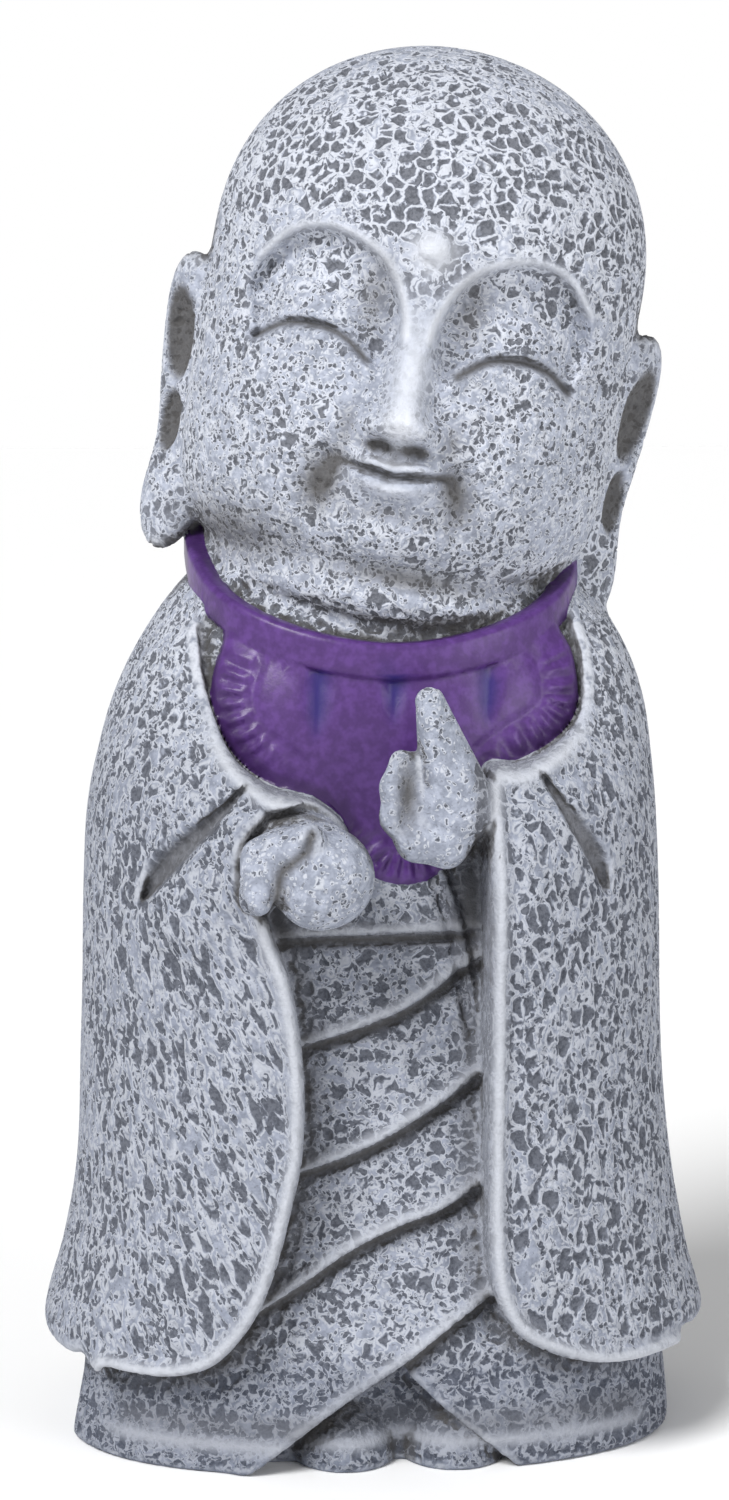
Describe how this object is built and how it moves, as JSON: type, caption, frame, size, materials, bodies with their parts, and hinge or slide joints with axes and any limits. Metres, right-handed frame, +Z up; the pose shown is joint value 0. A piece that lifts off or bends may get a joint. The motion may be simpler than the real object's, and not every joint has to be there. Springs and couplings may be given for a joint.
{
  "type": "jizo statue",
  "caption": "Cast stone garden figure of a smiling child monk in a wide-sleeved robe, wearing a painted bib, with one hand closed and one raised.",
  "frame": {"origin": "middle of the flat underside, halfway between the sides and between the front and back of the foot of the robe", "axes": "+Z up through the figure, -Y the way the robe faces, +X to the right of a viewer who stands in front"},
  "size_m": [0.186, 0.1623, 0.3791],
  "materials": {
    "stone": "rough cast, pitted, with a pale dry-brushed coat over grey"
  },
  "bodies": {
    "root": {"jizo_statue": "stone"}
  },
  "joints": []
}
